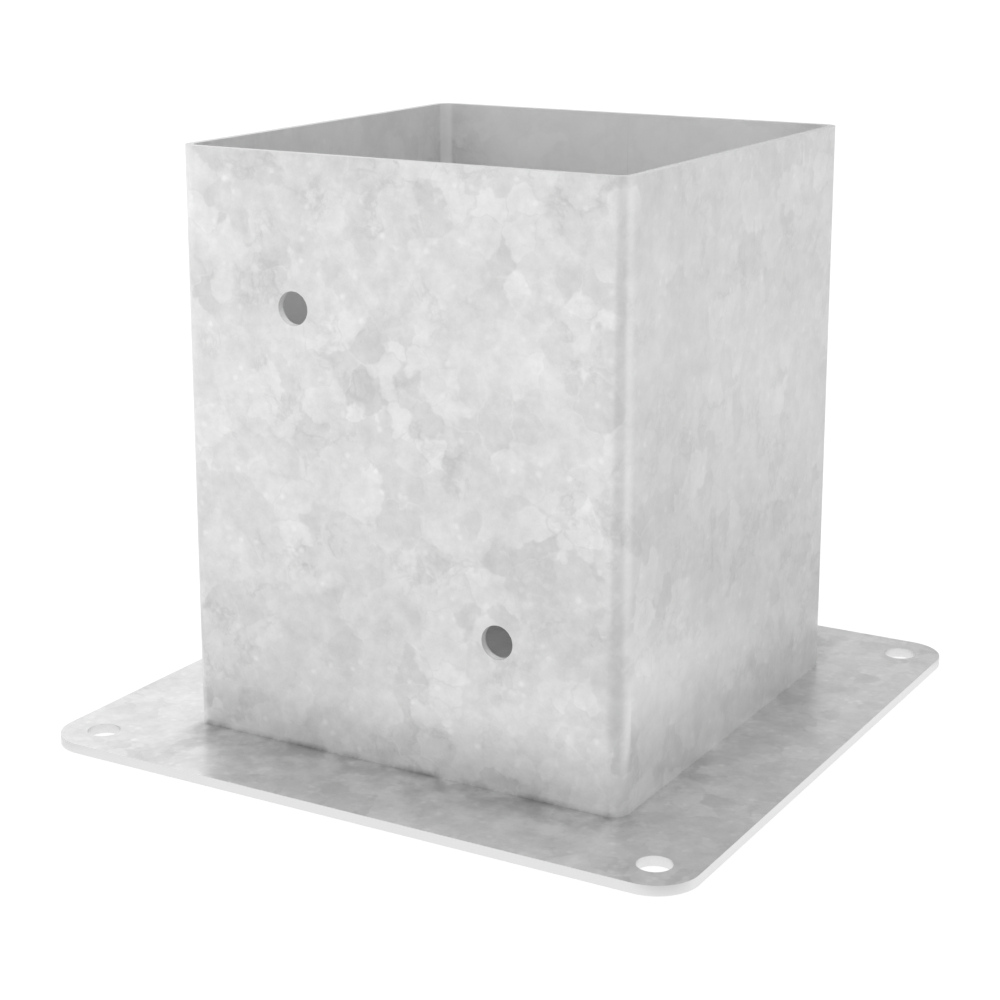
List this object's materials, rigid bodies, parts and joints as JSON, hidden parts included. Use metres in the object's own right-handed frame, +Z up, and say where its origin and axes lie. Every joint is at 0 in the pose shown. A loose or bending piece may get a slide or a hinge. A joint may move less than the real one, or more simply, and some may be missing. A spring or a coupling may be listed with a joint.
{
  "type": "timber post base",
  "caption": "Bolt-down square post base: a folded galvanised steel sleeve for a timber post, welded on a flat square plate with corner anchor holes.",
  "frame": {"origin": "centre of the base plate's underside", "axes": "+Z up along the post, -Y towards the front wall with the bolt holes, +Y towards the wall with the seam, +X to the right seen from the front"},
  "size_m": [0.18, 0.18, 0.153],
  "materials": {
    "galvanised_plate": "hot-dip zinc, soft spangle, satin",
    "galvanised_sheet": "hot-dip zinc, soft spangle, satin",
    "zinc_coated_weld": "zinc over weld metal, satin"
  },
  "bodies": {
    "root": {"base_plate": "galvanised_plate", "post_sleeve": "galvanised_sheet", "seam_weld": "zinc_coated_weld", "foot_weld": "zinc_coated_weld"}
  },
  "joints": []
}
